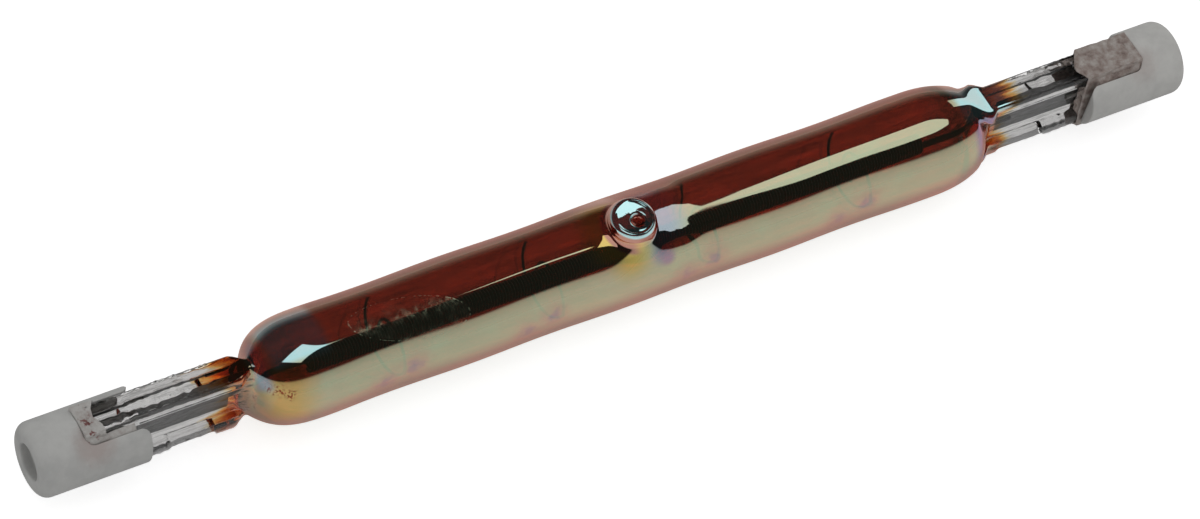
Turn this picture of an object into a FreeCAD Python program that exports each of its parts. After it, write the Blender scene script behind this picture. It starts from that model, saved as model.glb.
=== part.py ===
import FreeCAD, Part
import math
import os
import Sketcher

# Linear halogen lamp with a coated quartz tube and two recessed contact caps.
# The lamp lies along X. X = 0 is the mouth of the left recess. Z is the wide direction of both pinches,
# so their flat faces look along Y. Millimetres and degrees throughout.

OUT = "parts"
SUPPORTS = 4

# Driving dimensions, each written once.
DRIVING = [
    ("overall_length", 117.6, "end face to end face of the two caps"),
    ("tube_diameter", 10.0, "quartz tube, outside"),
    ("tube_wall", 1.0, "quartz tube wall"),
    ("left_shoulder", 26.0, "where the blunt left dome ends and the full tube begins"),
    ("right_shoulder_back", 26.0, "full tube ends this far from the right end face"),
    ("dome_angle", 42.0, "slope of the longer right dome where it runs straight into its pinch"),
    ("root_radius", 1.5, "radius of the right dome at its end"),
    ("dome_floor", 0.9, "quartz between the right end of the hollow and the root of its dome"),
    ("hollow_root_radius", 0.9, "flat place at both ends of the hollow, where the leads come through"),
    ("lead_run", 1.3, "how far each inner lead's hole runs on into the hollow"),
    ("pinch_start", 5.4, "pinch end from the end face of its cap"),
    ("pinch_into_dome", 3.4, "how far each pinch runs on inside its dome"),
    ("pinch_wide", 6.7, "pinch width"),
    ("pinch_thick", 3.15, "pinch thickness over its ribs"),
    ("pinch_web", 1.9, "pinch thickness between its ribs"),
    ("rib_wide", 1.25, "width of each rib"),
    ("rib_slope", 0.35, "width of the slope between rib and web"),
    ("pinch_bevel", 0.3, "softened outer corners of the pinch"),
    ("pip_turn", 10.0, "exhaust tip turned from Z towards minus Y"),
    ("pip_foot_radius", 2.9, "foot of the tip's collar"),
    ("pip_foot_height", 4.45, "height of the collar's foot over the lamp axis"),
    ("pip_neck_radius", 2.15, "narrowest place of the tip, above its collar"),
    ("pip_neck_height", 5.45, "height of that neck"),
    ("pip_flare_radius", 1.6, "hollow curve of the collar"),
    ("pip_dome_radius", 2.25, "radius of the melted dome"),
    ("pip_crown_radius", 0.95, "round of the dome's shoulder"),
    ("pip_dimple_radius", 0.8, "dimple in the top of the dome"),
    ("pip_top", 6.65, "height of the top of the dome"),
    ("pip_dimple_depth", 0.2, "depth of the dimple"),
    ("pip_bore_radius", 0.5, "exhaust hole in the tube wall"),
    ("pip_bore_height", 5.3, "closed end of the exhaust hole"),
    ("crimp_half", 3.2, "half length of the shallow waist at each support"),
    ("crimp_depth", 0.1, "depth of that waist"),
    ("coil_diameter", 2.0, "filament coil, outside"),
    ("coil_wire", 0.3, "filament wire"),
    ("coil_inset", 1.2, "coil ends inside the full tube"),
    ("lead_into_coil", 2.0, "length of each inner lead inside the coil"),
    ("support_inset", 7.6, "first and last support from the ends of the coil"),
    ("support_wire", 0.3, "support wire, drawn square so that it has few faces"),
    ("support_hold", 120.0, "degrees of a support's loop round the coil"),
    ("support_reach", 200.0, "degrees of the outer loop of a support"),
    ("half_turn", 180.0, "degrees of the bend between a support's two loops"),
    ("support_play", 0.05, "clearance of a support from the coil and from the wall"),
    ("foil_start", 10.2, "outer end of the foil from the end face"),
    ("foil_long", 9.0, "foil length"),
    ("foil_wide", 3.0, "foil width"),
    ("foil_thick", 0.04, "foil thickness"),
    ("lead_diameter", 0.6, "inner and outer leads"),
    ("weld_lap", 1.5, "length of each lead on the foil"),
    ("seal_play", 0.02, "clearance of the quartz round foil and leads"),
    ("cap_diameter", 7.0, "ceramic cap, outside"),
    ("cap_length", 10.4, "cap with its tongues"),
    ("cap_floor", 4.5, "solid end of the cap, from its face to the slot"),
    ("cap_edge_round", 1.0, "rounded outer edge of the end face, drawn as three bevels"),
    ("cap_turn", 6.0, "caps turned from the pinch, from Z towards minus Y"),
    ("slot_wide", 3.95, "slot between the tongues"),
    ("slot_corner", 0.9, "round of the slot's inner corners"),
    ("tongue_round", 0.8, "rounded mouth of the slot"),
    ("recess_diameter", 3.4, "contact recess"),
    ("recess_depth", 1.7, "depth from the end face to the contact"),
    ("seat_step", 0.22, "ledge between the recess and the narrower seat of the contact"),
    ("seat_lip", 0.6, "the seat begins this far in front of the contact"),
    ("contact_thick", 0.7, "contact button"),
    ("contact_play", 0.05, "clearance of the button and stem in the ceramic"),
    ("stem_diameter", 1.7, "stem of the contact"),
    ("stem_long", 1.6, "length of the stem behind the button"),
    ("lead_in_stem", 1.2, "length of the outer lead crimped in the stem"),
    ("cement_end", 9.6, "cement from the end face"),
    ("cement_below", 0.12, "cement lies this far inside the cap's outside"),
    ("break_step", 0.35, "unevenness of the broken tongue's face"),
]

# Sizes that follow from the driving ones.
DERIVED = [
    ("tube_radius", "tube_diameter / 2"),
    ("bore_radius", "tube_radius - tube_wall"),
    ("right_shoulder", "overall_length - right_shoulder_back"),
    ("left_root", "left_shoulder - tube_radius"),
    ("left_hollow", "left_shoulder - sqrt(bore_radius ^ 2 - hollow_root_radius ^ 2)"),
    ("right_turn", "right_shoulder + tube_radius * sin(dome_angle)"),
    ("right_turn_radius", "tube_radius * cos(dome_angle)"),
    ("right_root", "right_turn + (right_turn_radius - root_radius) / tan(dome_angle)"),
    ("right_hollow", "right_root - dome_floor"),
    ("left_pinch_long", "left_root + pinch_into_dome - pinch_start"),
    ("right_foil_start", "overall_length - foil_start - foil_long"),
    ("right_outer_cut", "overall_length - foil_start - weld_lap"),
    ("right_inner_hole", "right_hollow - lead_run"),
    ("right_pinch_end", "overall_length - pinch_start"),
    ("right_pinch_start", "right_root - pinch_into_dome"),
    ("right_pinch_long", "right_pinch_end - right_pinch_start"),
    ("half_wide", "pinch_wide / 2"),
    ("half_thick", "pinch_thick / 2"),
    ("half_web", "pinch_web / 2"),
    ("rib_inner", "half_wide - rib_wide"),
    ("web_edge", "rib_inner - rib_slope"),
    ("wide_bevel", "half_wide - pinch_bevel"),
    ("thick_bevel", "half_thick - pinch_bevel"),
    ("pip_at", "overall_length / 2"),
    ("pip_root", "bore_radius - tube_wall / 4"),
    ("pip_shoulder", "pip_top - pip_crown_radius"),
    ("pip_rim", "pip_dome_radius - pip_crown_radius"),
    ("pip_dip", "pip_top - pip_dimple_depth"),
    ("pip_dimple_round", "(pip_dimple_radius ^ 2 + pip_dimple_depth ^ 2) / (2 * pip_dimple_depth)"),
    ("pip_bore_foot", "bore_radius - tube_wall / 2"),
    ("coil_start", "left_shoulder + coil_inset"),
    ("coil_end", "right_shoulder - coil_inset"),
    ("coil_long", "coil_end - coil_start"),
    ("support_first", "coil_start + support_inset"),
    ("crimp_span", "coil_long - 2 * support_inset"),
    ("support_pitch", "crimp_span / %d" % (SUPPORTS - 1)),
    ("crimp_left", "support_first - crimp_half"),
    ("crimp_right", "support_first + crimp_half"),
    ("crimp_round", "(crimp_half ^ 2 + crimp_depth ^ 2) / (2 * crimp_depth)"),
    ("crimp_over", "tube_radius + tube_wall"),
    ("coil_radius", "coil_diameter / 2"),
    ("coil_bore", "coil_radius - coil_wire"),
    ("support_radius", "support_wire / 2"),
    ("support_inner", "coil_radius + support_play + support_radius"),
    ("inner_low", "support_inner - support_radius"),
    ("inner_high", "support_inner + support_radius"),
    ("support_outer", "bore_radius - support_play - support_radius"),
    ("outer_low", "support_outer - support_radius"),
    ("outer_high", "support_outer + support_radius"),
    ("support_bend", "(support_inner + support_outer) / 2"),
    ("bend_low", "support_bend - support_radius"),
    ("bend_high", "support_bend + support_radius"),
    ("bend_centre", "support_bend - support_inner"),
    ("foil_half_wide", "foil_wide / 2"),
    ("foil_half_thick", "foil_thick / 2"),
    ("foil_end", "foil_start + foil_long"),
    ("lead_radius", "lead_diameter / 2"),
    ("lead_off", "foil_half_thick + lead_radius"),
    ("inner_lead_start", "foil_end - weld_lap"),
    ("left_inner_long", "coil_start + lead_into_coil - inner_lead_start"),
    ("right_inner_long", "overall_length - coil_end + lead_into_coil - inner_lead_start"),
    ("left_inner_cut", "left_hollow + lead_run - inner_lead_start"),
    ("right_inner_cut", "overall_length - right_hollow + lead_run - inner_lead_start"),
    ("button_back", "recess_depth + contact_thick"),
    ("stem_end", "button_back + stem_long"),
    ("outer_lead_start", "stem_end - lead_in_stem"),
    ("outer_lead_long", "foil_start + weld_lap - outer_lead_start"),
    ("outer_cut_long", "foil_start + weld_lap - pinch_start"),
    ("seat_half_wide", "foil_half_wide + seal_play"),
    ("seat_half_thick", "foil_half_thick + seal_play"),
    ("lead_hole", "lead_radius + seal_play"),
    ("cap_radius", "cap_diameter / 2"),
    ("cap_face_edge", "cap_radius - cap_edge_round"),
    ("edge_first", "cap_edge_round * (1 - cos(30 deg))"),
    ("edge_first_radius", "cap_radius - cap_edge_round * (1 - sin(30 deg))"),
    ("edge_second", "cap_edge_round * (1 - cos(60 deg))"),
    ("edge_second_radius", "cap_radius - cap_edge_round * (1 - sin(60 deg))"),
    ("recess_radius", "recess_diameter / 2"),
    ("seat_radius", "recess_radius - seat_step"),
    ("recess_wall", "recess_depth - seat_lip"),
    ("button_radius", "seat_radius - contact_play"),
    ("stem_radius", "stem_diameter / 2"),
    ("stem_bore", "stem_radius + contact_play"),
    ("stem_hole", "lead_radius + seal_play"),
    ("slot_half", "slot_wide / 2"),
    ("slot_floor_corner", "cap_floor + slot_corner"),
    ("slot_inner", "slot_half - slot_corner"),
    ("slot_mouth", "cap_length - tongue_round"),
    ("slot_flare", "slot_half + tongue_round"),
    ("slot_past", "cap_length + tongue_round"),
    ("cement_radius", "cap_radius - cement_below"),
    ("through_all", "2 * cap_diameter"),
    ("break_high", "cap_floor + break_step"),
    ("break_low", "cap_floor + break_step / 3"),
    ("break_inner", "slot_half + break_step"),
    ("break_middle", "(slot_half + cap_radius) / 2"),
    ("break_past", "cap_radius + tongue_round"),
]

doc = FreeCAD.newDocument("lamp")
sheet = doc.addObject("Spreadsheet::Sheet", "Sizes")


def fill_sheet():
    """Writes every size and its alias, one row each."""
    rows = [(name, str(value), note) for name, value, note in DRIVING]
    rows += [(name, "=" + formula, "") for name, formula in DERIVED]
    for row, (name, content, note) in enumerate(rows, start=1):
        sheet.set("A%d" % row, name)
        sheet.set("B%d" % row, content)
        sheet.setAlias("B%d" % row, name)
        if note:
            sheet.set("C%d" % row, note)
    doc.recompute()


def size(name):
    """The value of a cell, which may carry a minus sign, or 0."""
    if name == "0":
        return 0.0
    if name.startswith("-"):
        return -float(sheet.get(name[1:]))
    return float(sheet.get(name))


def formula(name):
    """The expression that binds a property to a cell."""
    return "-Sizes." + name[1:] if name.startswith("-") else "Sizes." + name


fill_sheet()


def new_body(name):
    """An empty body that will be one piece of the lamp."""
    body = doc.addObject("PartDesign::Body", name)
    body.Label = name
    return body


def new_sketch(body, name, plane, along="0", up="0", off="0", turn_axis=None, turn="0"):
    """A sketch on one of the body's own planes, moved along its own axes or its normal, then turned."""
    sketch = body.newObject("Sketcher::SketchObject", name)
    support = [f for f in body.Origin.OriginFeatures if f.Role == plane][0]
    sketch.AttachmentSupport = [(support, "")]
    sketch.MapMode = "FlatFace"
    rotation = FreeCAD.Rotation()
    if turn_axis:
        rotation = FreeCAD.Rotation(turn_axis, size(turn))
    sketch.AttachmentOffset = FreeCAD.Placement(FreeCAD.Vector(size(along), size(up), size(off)), rotation)
    for axis, cell in (("x", along), ("y", up), ("z", off)):
        if cell != "0":
            sketch.setExpression(".AttachmentOffset.Base." + axis, formula(cell))
    if turn_axis:
        sketch.setExpression(".AttachmentOffset.Rotation.Angle", formula(turn))
    return sketch


def tie(sketch, kind, geo, pos, name):
    """Holds one coordinate of a point at the value of a cell. A sketch's own axes are -1, along, and -2, up."""
    value = size(name)
    if name == "0":
        sketch.addConstraint(Sketcher.Constraint("PointOnObject", geo, pos, -2 if kind == "DistanceX" else -1))
        return
    if value >= 0:
        index = sketch.addConstraint(Sketcher.Constraint(kind, -1, 1, geo, pos, value))
        sketch.setExpression("Constraints[%d]" % index, formula(name))
    else:
        index = sketch.addConstraint(Sketcher.Constraint(kind, geo, pos, -1, 1, -value))
        sketch.setExpression("Constraints[%d]" % index, formula(name[1:]))


def arc_between(start, end, radius, bulge):
    """An arc from start to end. Bulge 1 bends it to the left of the way from start to end, -1 to the right."""
    chord = end - start
    half = chord.Length / 2
    left = FreeCAD.Vector(-chord.y, chord.x, 0).normalize()
    sagitta = radius - math.sqrt(max(radius * radius - half * half, 0.0))
    middle = (start + end) * 0.5 + left * (bulge * sagitta)
    return Part.Arc(start, middle, end)


def closed_outline(sketch, corners, arcs=()):
    """A closed outline through the named corners. arcs holds (edge number, radius cell, bulge)."""
    bends = {edge: (radius, bulge) for edge, radius, bulge in arcs}
    points = [FreeCAD.Vector(size(x), size(y), 0) for x, y in corners]
    count = len(points)
    ends = []
    for edge in range(count):
        start = points[edge]
        end = points[(edge + 1) % count]
        if edge in bends:
            radius, bulge = bends[edge]
            geo = sketch.addGeometry(arc_between(start, end, size(radius), bulge))
            first = sketch.getPoint(geo, 1)
            starts_here = first.distanceToPoint(start) < 1e-6
            ends.append((geo, 1, 2) if starts_here else (geo, 2, 1))
        else:
            geo = sketch.addGeometry(Part.LineSegment(start, end))
            ends.append((geo, 1, 2))
    for edge in range(count):
        geo, first, last = ends[edge]
        after, after_first, after_last = ends[(edge + 1) % count]
        sketch.addConstraint(Sketcher.Constraint("Coincident", geo, last, after, after_first))
    for edge, (x, y) in enumerate(corners):
        geo, first, last = ends[edge]
        tie(sketch, "DistanceX", geo, first, x)
        tie(sketch, "DistanceY", geo, first, y)
    for edge, (radius, bulge) in bends.items():
        geo = ends[edge][0]
        index = sketch.addConstraint(Sketcher.Constraint("Radius", geo, size(radius)))
        sketch.setExpression("Constraints[%d]" % index, formula(radius))


def circle(sketch, centre_x, radius, centre_y="0"):
    """A circle with its centre at the named place."""
    centre = FreeCAD.Vector(size(centre_x), size(centre_y), 0)
    geo = sketch.addGeometry(Part.Circle(centre, FreeCAD.Vector(0, 0, 1), size(radius)))
    tie(sketch, "DistanceX", geo, 3, centre_x)
    tie(sketch, "DistanceY", geo, 3, centre_y)
    index = sketch.addConstraint(Sketcher.Constraint("Radius", geo, size(radius)))
    sketch.setExpression("Constraints[%d]" % index, formula(radius))


def turned(body, name, kind, sketch, axis, angle=None, reverse=False):
    """A revolution or groove of a sketch about one of its own axes, full unless an angle cell is given."""
    feature = body.newObject("PartDesign::" + kind, name)
    feature.Profile = sketch
    feature.ReferenceAxis = (sketch, [axis])
    feature.Angle = size(angle) if angle else 360
    if angle:
        feature.setExpression("Angle", formula(angle))
    feature.Reversed = reverse
    doc.recompute()
    return feature


def padded(body, name, sketch, length):
    """A pad along the sketch's normal."""
    feature = body.newObject("PartDesign::Pad", name)
    feature.Profile = sketch
    feature.Length = size(length)
    feature.setExpression("Length", formula(length))
    doc.recompute()
    return feature


def pocketed(body, name, sketch, length, reverse):
    """A pocket of one length. reverse makes it run along the sketch's normal."""
    before = body.Shape.Volume
    feature = body.newObject("PartDesign::Pocket", name)
    feature.Profile = sketch
    feature.Length = size(length)
    feature.setExpression("Length", formula(length))
    feature.Reversed = reverse
    doc.recompute()
    if body.Shape.Volume >= before:
        raise RuntimeError(name + " cuts nothing")
    return feature


PINCH_CORNERS = [
    ("thick_bevel", "half_wide"),
    ("half_thick", "wide_bevel"),
    ("half_thick", "rib_inner"),
    ("half_web", "web_edge"),
    ("half_web", "-web_edge"),
    ("half_thick", "-rib_inner"),
    ("half_thick", "-wide_bevel"),
    ("thick_bevel", "-half_wide"),
    ("-thick_bevel", "-half_wide"),
    ("-half_thick", "-wide_bevel"),
    ("-half_thick", "-rib_inner"),
    ("-half_web", "-web_edge"),
    ("-half_web", "web_edge"),
    ("-half_thick", "rib_inner"),
    ("-half_thick", "wide_bevel"),
    ("-thick_bevel", "half_wide"),
]


def rectangle(sketch, half_x, half_y):
    """A rectangle centred on the sketch's origin."""
    closed_outline(sketch, [(half_x, half_y), ("-" + half_x, half_y),
                            ("-" + half_x, "-" + half_y), (half_x, "-" + half_y)])


X_DIR = FreeCAD.Vector(1, 0, 0)
Z_DIR = FreeCAD.Vector(0, 0, 1)


def quartz_envelope():
    """Tube, domes, pinches and melted tip: one piece of quartz, hollow, closed round foils and leads."""
    body = new_body("quartz_envelope")
    outside = new_sketch(body, "TubeOutside", "XZ_Plane")
    closed_outline(outside, [("left_root", "0"), ("left_shoulder", "tube_radius"),
                             ("right_shoulder", "tube_radius"), ("right_turn", "right_turn_radius"),
                             ("right_root", "root_radius"), ("right_root", "0")],
                   arcs=[(0, "tube_radius", 1), (2, "tube_radius", 1)])
    turned(body, "Tube", "Revolution", outside, "H_Axis")
    for name, start, length in (("LeftPinch", "pinch_start", "left_pinch_long"),
                                ("RightPinch", "right_pinch_start", "right_pinch_long")):
        section = new_sketch(body, name + "Section", "YZ_Plane", off=start)
        closed_outline(section, PINCH_CORNERS)
        padded(body, name, section, length)

    pip = new_sketch(body, "TipOutline", "XZ_Plane", along="pip_at", turn_axis=X_DIR, turn="pip_turn")
    closed_outline(pip, [("0", "pip_root"), ("pip_foot_radius", "pip_root"),
                         ("pip_foot_radius", "pip_foot_height"), ("pip_neck_radius", "pip_neck_height"),
                         ("pip_dome_radius", "pip_shoulder"), ("pip_rim", "pip_top"),
                         ("pip_dimple_radius", "pip_top"), ("0", "pip_dip")],
                   arcs=[(2, "pip_flare_radius", 1), (4, "pip_crown_radius", -1),
                         (6, "pip_dimple_round", 1)])
    turned(body, "Tip", "Revolution", pip, "V_Axis")

    hollow = new_sketch(body, "Hollow", "XZ_Plane")
    closed_outline(hollow, [("left_hollow", "0"), ("left_hollow", "hollow_root_radius"),
                            ("left_shoulder", "bore_radius"), ("right_shoulder", "bore_radius"),
                            ("right_hollow", "hollow_root_radius"), ("right_hollow", "0")])
    turned(body, "Bore", "Groove", hollow, "H_Axis")
    exhaust = new_sketch(body, "ExhaustHole", "XZ_Plane", along="pip_at", turn_axis=X_DIR, turn="pip_turn")
    closed_outline(exhaust, [("0", "pip_bore_foot"), ("pip_bore_radius", "pip_bore_foot"),
                             ("pip_bore_radius", "pip_bore_height"), ("0", "pip_bore_height")])
    turned(body, "Exhaust", "Groove", exhaust, "V_Axis")

    for side, foil, outer, inner, off, outer_long, inner_long in (
            ("Left", "foil_start", "pinch_start", "inner_lead_start", "lead_off",
             "outer_cut_long", "left_inner_cut"),
            ("Right", "right_foil_start", "right_outer_cut", "right_inner_hole", "-lead_off",
             "outer_cut_long", "right_inner_cut")):
        foil_section = new_sketch(body, side + "FoilSeat", "YZ_Plane", off=foil)
        rectangle(foil_section, "seat_half_thick", "seat_half_wide")
        pocketed(body, side + "Foil", foil_section, "foil_long", True)
        outer_section = new_sketch(body, side + "OuterHole", "YZ_Plane", off=outer)
        circle(outer_section, off, "lead_hole")
        pocketed(body, side + "OuterLead", outer_section, outer_long, True)
        inner_section = new_sketch(body, side + "InnerHole", "YZ_Plane", off=inner)
        circle(inner_section, off, "lead_hole")
        pocketed(body, side + "InnerLead", inner_section, inner_long, True)

    waist = new_sketch(body, "Waist", "XZ_Plane")
    closed_outline(waist, [("crimp_left", "tube_radius"), ("crimp_right", "tube_radius"),
                           ("crimp_right", "crimp_over"), ("crimp_left", "crimp_over")],
                   arcs=[(0, "crimp_round", -1)])
    before = body.Shape.Volume
    groove = turned(body, "FirstWaist", "Groove", waist, "H_Axis")
    if body.Shape.Volume >= before:
        raise RuntimeError("the waist cuts nothing")
    pattern = body.newObject("PartDesign::LinearPattern", "Waists")
    pattern.Originals = [groove]
    pattern.Direction = (waist, ["H_Axis"])
    pattern.Length = size("crimp_span")
    pattern.setExpression("Length", formula("crimp_span"))
    pattern.Occurrences = SUPPORTS
    body.Tip = pattern
    doc.recompute()
    return body


def filament_coil():
    """The filament's outer form: a hollow cylinder of the coil's own diameters."""
    outer = doc.addObject("Part::Cylinder", "CoilOutside")
    inner = doc.addObject("Part::Cylinder", "CoilBore")
    for cylinder, radius in ((outer, "coil_radius"), (inner, "coil_bore")):
        cylinder.setExpression("Radius", formula(radius))
        cylinder.setExpression("Height", formula("coil_long"))
        cylinder.Placement = FreeCAD.Placement(FreeCAD.Vector(size("coil_start"), 0, 0),
                                               FreeCAD.Rotation(FreeCAD.Vector(0, 1, 0), 90))
        cylinder.setExpression(".Placement.Base.x", formula("coil_start"))
    coil = doc.addObject("Part::Cut", "filament_coil")
    coil.Label = "filament_coil"
    coil.Base = outer
    coil.Tool = inner
    doc.recompute()
    return coil


def filament_support(number):
    """One wire: a loop round the coil, a half turn outwards and an open loop along the quartz wall."""
    body = new_body("filament_support_%d" % number)
    for name, up, low, high, sweep, reverse in (
            ("InnerLoop", "0", "inner_low", "inner_high", "support_hold", True),
            ("Bend", "-bend_centre", "bend_low", "bend_high", "half_turn", False),
            ("OuterLoop", "0", "-outer_low", "-outer_high", "support_reach", False)):
        section = new_sketch(body, name + "Section", "XY_Plane", up=up)
        closed_outline(section, [("support_radius", low), ("support_radius", high),
                                 ("-support_radius", high), ("-support_radius", low)])
        turned(body, name, "Revolution", section, "H_Axis", sweep, reverse)
    place = (number - 1) * size("support_pitch") + size("support_first")
    body.Placement = FreeCAD.Placement(FreeCAD.Vector(place, 0, 0), FreeCAD.Rotation())
    body.setExpression(".Placement.Base.x", "Sizes.support_first + %d * Sizes.support_pitch" % (number - 1))
    doc.recompute()
    return body


def at_end(piece, side):
    """Leaves a left piece where it is, and turns a right one round to the other end of the lamp."""
    if side == "right":
        piece.Placement = FreeCAD.Placement(FreeCAD.Vector(size("overall_length"), 0, 0),
                                            FreeCAD.Rotation(Z_DIR, 180))
        piece.setExpression(".Placement.Base.x", formula("overall_length"))
    doc.recompute()
    return piece


def foil(side):
    """The thin molybdenum foil sealed in the middle of a pinch."""
    body = new_body(side + "_foil")
    section = new_sketch(body, "FoilSection", "YZ_Plane", off="foil_start")
    rectangle(section, "foil_half_thick", "foil_half_wide")
    padded(body, "Foil", section, "foil_long")
    return at_end(body, side)


def lead(side, name, start, length):
    """A round lead that lies on the foil and is welded to it."""
    body = new_body(side + "_" + name)
    section = new_sketch(body, "LeadSection", "YZ_Plane", off=start)
    circle(section, "lead_off", "lead_radius")
    padded(body, "Lead", section, length)
    return at_end(body, side)


def contact(side):
    """The flat contact button at the bottom of the recess, with a stem crimped on the outer lead."""
    body = new_body(side + "_contact")
    outline = new_sketch(body, "ButtonOutline", "XZ_Plane")
    closed_outline(outline, [("recess_depth", "0"), ("recess_depth", "button_radius"),
                             ("button_back", "button_radius"),
                             ("button_back", "stem_radius"), ("stem_end", "stem_radius"),
                             ("stem_end", "0")])
    turned(body, "Button", "Revolution", outline, "H_Axis")
    hole = new_sketch(body, "LeadHole", "YZ_Plane", off="stem_end")
    circle(hole, "lead_off", "stem_hole")
    pocketed(body, "Crimp", hole, "lead_in_stem", False)
    return at_end(body, side)


def slot_turn_axis(side):
    """Both caps are turned the same way on the lamp, so the right one turns the other way in its own frame."""
    return X_DIR if side == "left" else FreeCAD.Vector(-1, 0, 0)


def ceramic_cap(side, broken):
    """A turned ceramic cap: contact recess, solid floor and two tongues that hold the pinch between them."""
    body = new_body(side + "_ceramic_cap")
    outline = new_sketch(body, "CapOutline", "XZ_Plane")
    closed_outline(outline, [("0", "recess_radius"), ("0", "cap_face_edge"),
                             ("edge_first", "edge_first_radius"), ("edge_second", "edge_second_radius"),
                             ("cap_edge_round", "cap_radius"), ("cap_length", "cap_radius"),
                             ("cap_length", "0"), ("cap_floor", "0"), ("cap_floor", "stem_bore"),
                             ("button_back", "stem_bore"), ("button_back", "seat_radius"),
                             ("recess_wall", "seat_radius"), ("recess_wall", "recess_radius")])
    turned(body, "Cap", "Revolution", outline, "H_Axis")
    slot = new_sketch(body, "SlotOutline", "XY_Plane", turn_axis=slot_turn_axis(side), turn="cap_turn")
    closed_outline(slot, [("cap_floor", "slot_inner"), ("slot_floor_corner", "slot_half"),
                          ("slot_mouth", "slot_half"), ("cap_length", "slot_flare"),
                          ("slot_past", "slot_flare"), ("slot_past", "-slot_flare"),
                          ("cap_length", "-slot_flare"), ("slot_mouth", "-slot_half"),
                          ("slot_floor_corner", "-slot_half"), ("cap_floor", "-slot_inner")],
                   arcs=[(0, "slot_corner", 1), (2, "tongue_round", -1),
                         (6, "tongue_round", -1), (8, "slot_corner", 1)])
    through(body, "Slot", slot)
    if broken:
        lost = new_sketch(body, "BreakOutline", "XY_Plane", turn_axis=slot_turn_axis(side), turn="cap_turn")
        closed_outline(lost, [("slot_floor_corner", "0"), ("slot_floor_corner", "-slot_half"),
                              ("break_high", "-break_inner"), ("break_low", "-break_middle"),
                              ("break_high", "-break_past"), ("slot_past", "-break_past"),
                              ("slot_past", "0")])
        through(body, "Break", lost)
    return at_end(body, side)


def through(body, name, sketch):
    """A pocket that runs through the body both ways from its sketch."""
    before = body.Shape.Volume
    feature = body.newObject("PartDesign::Pocket", name)
    feature.Profile = sketch
    feature.Midplane = True
    feature.Length = size("through_all")
    feature.setExpression("Length", formula("through_all"))
    doc.recompute()
    if body.Shape.Volume >= before:
        raise RuntimeError(name + " cuts nothing")


def extruded(name, sketch, direction, length, symmetric):
    """A solid drawn out of a loose sketch."""
    solid = doc.addObject("Part::Extrusion", name)
    solid.Base = sketch
    solid.DirMode = "Custom"
    solid.Dir = direction
    solid.setExpression("LengthFwd", formula(length))
    solid.Solid = True
    solid.Symmetric = symmetric
    return solid


def cement(side):
    """The cement that fills the slot round the pinch, behind the contact's stem."""
    slot = doc.addObject("Sketcher::SketchObject", side + "CementOutline")
    slot.Placement = FreeCAD.Placement(FreeCAD.Vector(), FreeCAD.Rotation(slot_turn_axis(side), size("cap_turn")))
    slot.setExpression(".Placement.Rotation.Angle", formula("cap_turn"))
    closed_outline(slot, [("cap_floor", "slot_inner"), ("slot_floor_corner", "slot_half"),
                          ("cement_end", "slot_half"), ("cement_end", "-slot_half"),
                          ("slot_floor_corner", "-slot_half"), ("cap_floor", "-slot_inner")],
                   arcs=[(0, "slot_corner", 1), (4, "slot_corner", 1)])
    normal = FreeCAD.Rotation(slot_turn_axis(side), size("cap_turn")).multVec(Z_DIR)
    band = extruded(side + "CementBand", slot, normal, "through_all", True)
    round_form = doc.addObject("Part::Cylinder", side + "CementRound")
    round_form.setExpression("Radius", formula("cement_radius"))
    round_form.setExpression("Height", formula("cement_end"))
    across = FreeCAD.Rotation(FreeCAD.Vector(0, 1, 0), 90)
    round_form.Placement = FreeCAD.Placement(FreeCAD.Vector(), across)
    filled = doc.addObject("Part::MultiCommon", side + "CementFilled")
    filled.Shapes = [band, round_form]

    to_end = FreeCAD.Rotation(FreeCAD.Vector(1, 1, 1), 120)
    pinch = doc.addObject("Sketcher::SketchObject", side + "PinchSection")
    pinch.Placement = FreeCAD.Placement(FreeCAD.Vector(size("pinch_start"), 0, 0), to_end)
    pinch.setExpression(".Placement.Base.x", formula("pinch_start"))
    closed_outline(pinch, PINCH_CORNERS)
    bar = extruded(side + "PinchBar", pinch, X_DIR, "cement_end", False)
    wire = doc.addObject("Part::Cylinder", side + "CementWire")
    wire.setExpression("Radius", formula("lead_hole"))
    wire.setExpression("Height", formula("cement_end"))
    wire.Placement = FreeCAD.Placement(FreeCAD.Vector(0, size("lead_off"), 0), across)
    wire.setExpression(".Placement.Base.y", formula("lead_off"))
    taken = doc.addObject("Part::MultiFuse", side + "CementTaken")
    taken.Shapes = [bar, wire]
    fill = doc.addObject("Part::Cut", side + "_cement")
    fill.Label = side + "_cement"
    fill.Base = filled
    fill.Tool = taken
    doc.recompute()
    return at_end(fill, side)


def lamp():
    """Every piece of the lamp."""
    pieces = [quartz_envelope(), filament_coil()]
    pieces += [filament_support(number) for number in range(1, SUPPORTS + 1)]
    for side in ("left", "right"):
        pieces.append(ceramic_cap(side, broken=side == "right"))
        pieces.append(contact(side))
        pieces.append(cement(side))
        pieces.append(foil(side))
        pieces.append(lead(side, "outer_lead", "outer_lead_start", "outer_lead_long"))
        pieces.append(lead(side, "inner_lead", "inner_lead_start", side + "_inner_long"))
    return pieces


def write(pieces):
    """Refuses a failed object or an unsound shape, then writes one file for each piece."""
    doc.recompute()
    for item in doc.Objects:
        if any(word in ("Invalid", "Error") for word in item.State):
            raise RuntimeError(item.Name + " failed: " + str(item.State))
    for piece in pieces:
        shape = piece.Shape
        if shape.isNull() or not shape.isValid() or len(shape.Solids) != 1:
            raise RuntimeError(piece.Label + " is not one sound solid")
    os.makedirs(OUT, exist_ok=True)
    for piece in pieces:
        piece.Shape.exportStep(os.path.join(OUT, piece.Label + ".step"))
        print("%-22s %9.3f mm3" % (piece.Label, piece.Shape.Volume))


write(lamp())
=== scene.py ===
from math import asin, copysign, cos, degrees, exp, hypot, pi, radians, sin, sqrt

import bpy
import bmesh
import numpy as np
from mathutils import Matrix, Vector, noise


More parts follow.
